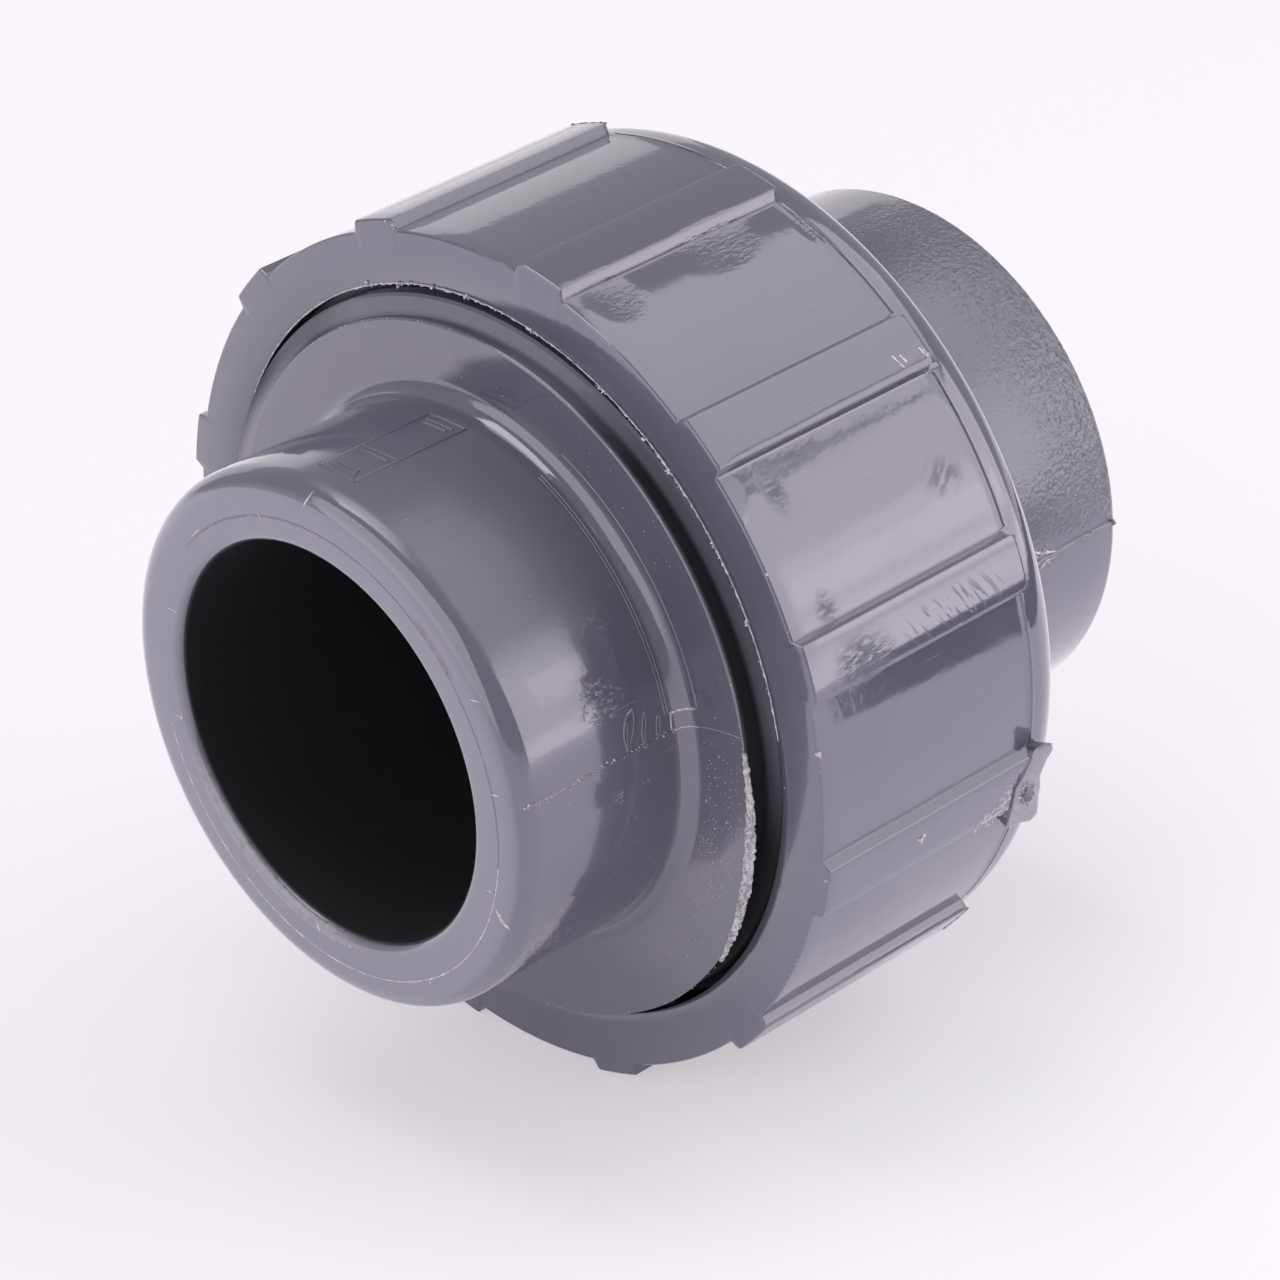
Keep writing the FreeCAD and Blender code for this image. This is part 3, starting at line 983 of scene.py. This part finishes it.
def face_marks(torn_material):
    """The worn ring and the nicks on the front face, and the frayed edge of the disc."""
    marks = Relief(8)
    uniform, normal = marks.chance.uniform, marks.chance.normal
    ring = []
    for angle in range(192, 352, 4):
        off_centre = 0.42 * math.cos(math.radians(angle - 225))
        ring.append((19.44 + off_centre + 0.02 * math.sin(math.radians(7 * angle)), angle))
    marks.on_face(ring, -face_x, (0.06, 0.16), (0.004, 0.03, 2.0), 0.4)
    nicks = [
        ((17.3, 22.5), (18.5, 21.5), 0.10), ((18.6, 78.0), (19.4, 77.2), 0.16),
        ((20.9, 93.4), (22.2, 94.8), 0.16), ((20.7, 151.2), (21.6, 152.6), 0.12),
        ((19.6, 173.0), (20.5, 173.1), 0.12), ((18.8, 200.2), (19.7, 199.0), 0.16),
        ((20.2, 202.8), (21.7, 205.6), 0.42), ((19.7, 240.2), (20.2, 241.0), 0.10),
        ((17.0, 281.5), (18.1, 279.8), 0.18), ((17.5, 269.0), (18.2, 267.5), 0.16),
        ((17.3, 349.0), (18.2, 350.5), 0.40), ((19.2, 47.0), (19.3, 53.0), 0.12),
    ]
    for first, last, width in nicks:
        def tapered(count):
            return np.sin(np.linspace(0.15, math.pi - 0.15, count)) * width

        tall = (0.02, 0.05 + 0.3 * width)
        marks.on_face([first, last], -face_x, tapered, tall, 0.12, hub_end_rounding)

    # The frayed strip is widest in the middle and moves off the disc's edge onto the thread
    strip_radius, strip_drift = thread_root_radius - 0.06, 1.75
    for step in range(6):
        path = []
        for share in np.linspace(0, 1, 60):
            swell = 0.05 + 0.95 * math.sin(math.pi * share) ** 1.1
            lift = (0.15 * step - 0.46) * swell + normal(0, 0.06)
            radius = max(strip_radius + strip_drift * share + lift, thread_root_radius - 0.35)
            path.append((radius, 177.5 + 40.0 * share))
        marks.on_face(path, shoulder_x + 0.01 * step, (0.08, 0.30), (0.02, 0.22, 1.5), 0.16)
    for _ in range(190):
        share = marks.chance.beta(1.6, 1.4)
        angle = 176.0 + 41.0 * share + normal(0, 0.4)
        reach = 0.5 * (0.15 + 0.85 * math.sin(math.pi * share))
        radius = strip_radius + strip_drift * share + uniform(-reach, 0.7 * reach)
        marks.face_crumb(shoulder_x - 0.06, radius, angle, uniform(0.07, 0.24), 0.5)
    for _ in range(330):
        angle = normal(201, 11)
        marks.face_crumb(shoulder_x, uniform(24.4, 28.4), angle, uniform(0.07, 0.14), 0.45)
    for _ in range(90):
        angle = uniform(45, 330)
        marks.face_crumb(shoulder_x, uniform(24.4, 28.4), angle, uniform(0.04, 0.12), 0.35)
    rim = thread_root_radius + thread_height
    for _ in range(60):
        angle = uniform(216, 400)
        marks.face_crumb(shoulder_x, rim - abs(normal(0, 0.06)), angle, uniform(0.05, 0.14), 0.5)
    for _ in range(70):
        angle = uniform(52, 100) if marks.chance.random() < 0.6 else uniform(100, 183)
        size = 0.05 + 0.14 * marks.chance.random() ** 2
        marks.face_crumb(shoulder_x + 0.05, thread_root_radius - 0.1, angle, size, 0.5)
    marks.piece("end_nicks", "threaded_end", torn_material)


def mouth_flash(torn_material):
    """Torn flash round the nut's mouth, and burrs on its edges and bars."""
    flash = Relief(13)
    uniform, normal = flash.chance.uniform, flash.chance.normal
    edge_x, edge_radius = nut_front_x + 0.26, nut_bore_radius + 0.02
    outer_corner = (-0.7, -0.5, 0.5)

    def into_mouth(angle):
        turn = math.radians(angle)
        return -0.8, -0.6 * math.cos(turn), -0.6 * math.sin(turn)

    for start, stop, tall in ((62, 112, 0.16), (104, 160, 0.18), (126, 176, 0.14), (30, 66, 0.08)):
        angles = np.arange(start, stop, 0.5)
        lean = -outwards(angles) * 0.8
        lean[:, 0] = -0.6
        lean /= np.linalg.norm(lean, axis=1)[:, None]
        ends = np.minimum(1, np.minimum(angles - start, stop - angles) / 6 + 0.05)
        height = flash.ragged(len(angles), 0.02, tall, 3.0) * ends
        flash.line(around(edge_x, edge_radius, angles), lean, (0.06, 0.20), height, 0.05)
    clusters = (70.0, 76.5, 79.0, 84.0, 91.0, 104.5, 118.5, 119.4, 128.0, 134.0, 146.0, 157.5)
    for angle in clusters:
        for _ in range(5):
            turn = angle + normal(0, 0.35)
            place = around(nut_front_x + uniform(0.0, 0.3), edge_radius + normal(0.05, 0.12), turn)
            flash.crumb(place, into_mouth(turn), uniform(0.10, 0.30), 0.7)
    for _ in range(80):
        angle = uniform(66, 172)
        place = around(nut_front_x + uniform(0.0, 0.25), edge_radius + 0.1, angle)
        flash.crumb(place, into_mouth(angle), uniform(0.05, 0.16), 0.6)
    burrs = [(35.5, 175.5, 0.70), (35.45, 152.0, 0.45), (36.2, 193.0, 0.5), (35.9, 78.8, 0.5),
             (36.3, 77.6, 0.4), (31.6, 182.5, 0.3)]
    for radius, angle, size in burrs:
        for _ in range(6):
            place = around(nut_front_x + 0.12, radius - 0.08, angle) + normal(0, size * 0.11, 3)
            flash.crumb(place, outer_corner, size * uniform(0.3, 0.7), 0.7)
    for _ in range(70):
        centre = flash.chance.choice(bar_angles)
        side = flash.chance.choice([-1, 1]) * math.degrees(bar_half_top / nut_radius)
        x = uniform(nut_front_x + 0.2, bar_end_x)
        angle = centre + side + normal(0, 0.12)
        flash.barrel_crumb(x, bar_top_radius - 0.03, angle, uniform(0.04, 0.11), 0.4)
    for _ in range(80):
        place = around(nut_front_x + 0.07, nut_radius - 0.07, uniform(0, 360))
        flash.crumb(place, outer_corner, uniform(0.04, 0.11), 0.5)
    for x, angle, reach in ((5.2, 135.6, 0.9), (5.9, 136.0, 0.5), (7.9, 136.2, 0.7), (8.2, 136.6, 0.4)):
        chip = [(x, angle), (x + 0.45 * reach, angle + 2.2 * reach)]
        flash.on_barrel(chip, bar_top_radius - 0.01, (0.10, 0.34), (0.02, 0.07), 0.15)
    flash.piece("nut_flash", "union_nut", torn_material)


def bar_ends(plastic_material):
    """Thin moulding flash that stands up along the rear edges of the bars and the seam."""
    edges = Relief(21)
    reach = math.degrees((bar_half_top - 0.1) / nut_radius)
    foot = math.degrees(bar_half_base / nut_radius)
    for centre in bar_angles:
        ends = [(bar_end_x - 0.12, centre - reach), (bar_end_x - 0.12, centre + reach)]
        edges.on_barrel(ends, bar_top_radius - 0.01, 0.14, (0.02, 0.10, 1.5), 0.2)
        start = centre + foot
        seam_x = parting_line_x + 0.24
        between = [(seam_x, start), (seam_x, start + 30 - 2 * (start - centre))]
        edges.on_barrel(between, nut_radius - 0.01, 0.12, (0.005, 0.03, 2.0), 0.3)
    edges.piece("nut_seam_flash", "union_nut", plastic_material)


def gate_face(along, share):
    """Places (x, above) on the gate's sloping face, and the face's outward normal there."""
    first, last = gate_ends
    tops = np.interp(along, *np.array(gate_tops).T)
    near_end = np.clip(np.minimum(along - first, last - along) / 0.7, 0, 1)
    foot_x = gate_front_x - 1.25 + 0.45 * (1 - np.sqrt(1 - (1 - near_end) ** 2))
    foot_x = foot_x + np.interp(along, [first, -2.6, -1.6, -0.4], [1.45, 1.25, 0.7, 0.0])
    run = np.interp(along, [first, -2.8, -1.2, last], [8.95, 8.75, 8.15, 8.25]) - foot_x
    run = np.maximum(run, 0.15)
    length = np.hypot(run, tops)
    return foot_x + run * share, tops * share, -tops / length, run / length


def torn_gate(plastic_material):
    """What is left of the moulding gate: a hooked wall with a crater where it broke."""
    first, last = gate_ends
    along = np.linspace(first, last, 73)
    foot = np.full(len(along), -gate_foot_depth)
    source = np.random.default_rng(17)
    rows = [(gate_face(along, 0.0)[0], foot)]
    for share in np.linspace(0, 1, 17):
        x, above, lean_x, lean_up = gate_face(along, share)
        across = (share - gate_crater[1]) * 2.0 / 0.56
        away = np.hypot((along - gate_crater[0]) / crater_radius, across)
        hollow = np.where(away < 1, -crater_depth * np.sqrt(np.clip(1 - away ** 2, 0, 1)), 0.0)
        rim = 0.10 * np.exp(-((away - 1.1) / 0.16) ** 2)
        uneven = source.normal(0, 0.035, len(along)) * (away < 1.25)
        uneven = uneven + source.normal(0, 0.006, len(along))
        rise = hollow + rim + uneven
        rows.append((x + lean_x * rise, above + lean_up * rise))
    top_x, tops = rows[-1]
    rows.append((top_x + 0.18, tops))
    rows.append((top_x + 0.32, tops - 0.2))
    rows.append((np.maximum(top_x + 0.36, gate_rear_x - 0.3), foot))
    x, above = np.array(rows).transpose(1, 0, 2)
    left = np.interp(above, [-gate_foot_depth, 0.9], [-2.6, first])
    right = np.interp(above, [-gate_foot_depth, -0.8], [3.8, last])
    place = left + (right - left) * (along[None, :] - first) / 8.0
    turn = gate_angle + np.degrees(place / bar_top_radius)
    points = around(x, bar_top_radius + above, turn) * 0.001
    faces = strip_faces(*x.shape)
    mesh_piece("nut_gate", points.reshape(-1, 3), faces, "union_nut", plastic_material, 60)


def gate_tears(torn_material):
    """Whitened shreds round the gate's crater and on the bar in front of it."""
    tears = Relief(29)
    uniform = tears.chance.uniform
    top = bar_top_radius
    for _ in range(90):
        turn, reach = uniform(0, 2 * math.pi), uniform(0.75, 1.15)
        along = gate_crater[0] + crater_radius * reach * math.cos(turn)
        share = gate_crater[1] + 0.28 * reach * math.sin(turn)
        x, above, lean_x, lean_up = gate_face(along, share)
        angle = gate_angle + math.degrees(along / top)
        place = around(x + 0.10 * lean_x, top + above + 0.10 * lean_up, angle)
        normal = outwards(angle) * lean_up + np.array((lean_x, 0.0, 0.0))
        tears.crumb(place, normal, uniform(0.07, 0.20), 0.5)
    for _ in range(110):
        x = 6.2 - 3.9 * tears.chance.random() ** 1.3
        centre = 198.7 - (x - 2.3) * 0.5
        angle = centre + tears.chance.normal(0, 0.5 + 0.26 * (x - 2.3))
        tears.barrel_crumb(x, top - 0.02, angle, uniform(0.06, 0.24), 0.4)
    lumps = ((-4.4, 194.7, 0.6), (-4.1, 194.2, 0.4), (-4.7, 194.5, 0.35), (-4.3, 195.2, 0.3))
    for x, angle, size in lumps:
        tears.barrel_crumb(x, top, angle, size, 0.5)
    tears.piece("gate_tears", "union_nut", torn_material)


def tail_marks(plastic_material, torn_material):
    """The mould seam on the rear hub and the flash at its foot."""
    seam = Relief(31)
    places = [(13.2, 181.6), (24.0, 181.9), (29.0, 181.5), (32.6, 181.8)]
    seam.on_barrel(places, hub_radius, (0.34, 0.55), (0.12, 0.34), 0.3)
    seam.barrel_crumb(32.7, hub_radius + 0.05, 181.8, 0.7)
    seam.piece("tail_seam", "tailpiece", plastic_material)
    flecks = Relief(37)
    uniform = flecks.chance.uniform
    foot = [[(22.9, 178.6), (24.2, 180.2), (25.8, 181.4)],
            [(23.4, 184.0), (24.4, 182.8), (25.6, 181.9)]]
    for places in foot:
        flecks.on_barrel(places, hub_radius, (0.12, 0.42), (0.04, 0.18), 0.2)
    for _ in range(44):
        x = 23.0 + 3.0 * flecks.chance.random() ** 1.5
        angle = 181.6 + flecks.chance.normal(0, 1.3)
        flecks.barrel_crumb(x, hub_radius + 0.03, angle, uniform(0.08, 0.30), 0.5)
    for _ in range(45):
        flecks.barrel_crumb(uniform(14, 32.8), hub_radius, uniform(0, 360), uniform(0.05, 0.16), 0.35)
    for _ in range(60):
        x = 14 + 18.8 * flecks.chance.random()
        flecks.barrel_crumb(x, hub_radius + 0.05, 181.7, uniform(0.05, 0.16), 0.5)
    flecks.piece("tail_flecks", "tailpiece", torn_material)


def add_camera():
    data = bpy.data.cameras.new("camera")
    data.sensor_width = camera_sensor
    data.lens = camera_lens
    data.clip_start = 0.01
    data.clip_end = 50.0
    camera = bpy.data.objects.new("camera", data)
    bpy.context.scene.collection.objects.link(camera)
    place = Vector(camera_place) * 0.001
    towards = Vector(camera_target) * 0.001 - place
    camera.location = place
    camera.rotation_mode = "QUATERNION"
    level = towards.to_track_quat("-Z", "Y")
    camera.rotation_quaternion = level @ Quaternion((0, 0, 1), math.radians(camera_roll))
    bpy.context.scene.camera = camera


def add_panel(name, azimuth, elevation, distance, width, height, radiance, colour=(1, 1, 1)):
    """A soft rectangular lamp that faces the object, seen from it at these angles."""
    data = bpy.data.lights.new(name, "AREA")
    data.shape = "RECTANGLE"
    data.size = width
    data.size_y = height
    data.energy = radiance * 4 * width * height
    data.color = colour
    lamp = bpy.data.objects.new(name, data)
    turn, lift = math.radians(azimuth), math.radians(elevation)
    flat = math.cos(lift)
    out = Vector((math.cos(turn) * flat, math.sin(turn) * flat, math.sin(lift)))
    lamp.location = out * distance
    lamp.rotation_mode = "QUATERNION"
    lamp.rotation_quaternion = (-out).to_track_quat("-Z", "Y")
    lamp.visible_camera = False
    bpy.context.scene.collection.objects.link(lamp)


def stage_sheet(name, corners, material):
    """A flat sheet of the stage with one face."""
    mesh = bpy.data.meshes.new(name)
    mesh.from_pydata(corners, [], [(0, 1, 2, 3)])
    mesh.materials.append(material)
    sheet = bpy.data.objects.new(name, mesh)
    bpy.context.scene.collection.objects.link(sheet)
    return sheet


def add_floor():
    """A pale floor that is close to white to the camera and in reflections, and keeps shadows."""
    material = bpy.data.materials.new("pale_floor")
    material.use_nodes = True
    tree = material.node_tree
    tree.nodes.clear()
    seen = add_node(tree, "ShaderNodeLightPath", output="Is Camera Ray")
    mirrored = add_node(tree, "ShaderNodeLightPath", output="Is Glossy Ray")
    tones = {0: seen, 6: (0.86, 0.83, 0.90, 1), 7: (0.46, 0.445, 0.47, 1)}
    tone = add_node(tree, "ShaderNodeMix", tones, output=2, data_type="RGBA")
    matte = add_node(tree, "ShaderNodeBsdfDiffuse", {"Color": tone})
    direct = add_node(tree, "ShaderNodeMath", {0: seen, 1: 0.48}, operation="MULTIPLY")
    shares = {0: mirrored, 1: 0.2, 2: direct}
    strength = add_node(tree, "ShaderNodeMath", shares, operation="MULTIPLY_ADD")
    light = {"Color": (0.99, 0.955, 1.0, 1), "Strength": strength}
    glow = add_node(tree, "ShaderNodeEmission", light)
    total = add_node(tree, "ShaderNodeAddShader", {0: matte, 1: glow})
    add_node(tree, "ShaderNodeOutputMaterial", {"Surface": total})
    size, level = 8.0, cad_box[0][2]
    corners = [(x * size, y * size, level) for x, y in ((-1, -1), (1, -1), (1, 1), (-1, 1))]
    stage_sheet("floor", corners, material)


def add_world():
    """A dim room that the camera sees as white."""
    world = bpy.data.worlds.new("room")
    bpy.context.scene.world = world
    world.use_nodes = True
    tree = world.node_tree
    tree.nodes.clear()
    dim = {"Color": (0.98, 0.97, 1.0, 1), "Strength": 0.42}
    room = add_node(tree, "ShaderNodeBackground", dim)
    white = add_node(tree, "ShaderNodeBackground", {"Color": (1, 1, 1, 1), "Strength": 1.0})
    seen = add_node(tree, "ShaderNodeLightPath", output="Is Camera Ray")
    pick = add_node(tree, "ShaderNodeMixShader", {0: seen, 1: room, 2: white})
    add_node(tree, "ShaderNodeOutputWorld", {"Surface": pick})


def add_flag():
    """A dark card on the floor below the right softbox, which only reflections show."""
    near, far, left, right = 0.140, 0.262, -0.0255, 0.20
    level = cad_box[0][2] + 0.001
    turn = math.radians(-52)
    out, side = (math.cos(turn), math.sin(turn)), (-math.sin(turn), math.cos(turn))
    corners = [(out[0] * d + side[0] * s, out[1] * d + side[1] * s, level)
               for d, s in ((near, left), (far, left), (far, right), (near, right))]
    material = bpy.data.materials.new("dark_card")
    material.use_nodes = True
    surface = material.node_tree.nodes["Principled BSDF"]
    surface.inputs["Base Color"].default_value = (0.03, 0.03, 0.03, 1)
    surface.inputs["Roughness"].default_value = 0.9
    flag = stage_sheet("flag", corners, material)
    flag.visible_camera = False
    flag.visible_diffuse = False
    flag.visible_shadow = False


torn = torn_plastic()
end_material, nut_material, tail_material = end_plastic(), nut_plastic(), tail_plastic()
threaded_end(end_material)
union_nut(nut_material)
tailpiece(tail_material)
hub_marks(end_material, torn)
face_marks(torn)
mouth_flash(torn)
bar_ends(nut_material)
torn_gate(gate_plastic())
gate_tears(torn)
tail_marks(tail_material, torn)
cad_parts["o_ring"].data.materials.clear()
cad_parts["o_ring"].data.materials.append(seal_rubber())

add_camera()
add_floor()
add_world()
add_flag()
add_panel("right_softbox", -52, 13, 0.30, 0.24, 0.22, 1.4, (1.0, 0.97, 1.0))
add_panel("hot_strip", -53.5, 13.0, 0.295, 0.08, 0.062, 0.36, (1.0, 0.92, 0.96))
add_panel("hot_core", -53.5, 12.0, 0.290, 0.06, 0.030, 0.36, (1.0, 0.86, 0.90))
add_panel("top_softbox", -29.3, 50.75, 1.5, 1.46, 0.93, 0.97, (0.99, 0.97, 1.0))
add_panel("overhead_fill", 100, 78, 1.6, 1.0, 1.0, 2.2)
add_panel("rear_panel", 66, 11, 1.8, 1.6, 0.8, 0.4, (1.0, 0.95, 0.98))
add_panel("left_fill", 178, 24, 1.6, 2.4, 1.6, 0.9, (0.99, 0.98, 1.0))
bpy.context.scene.view_settings.view_transform = "Standard"
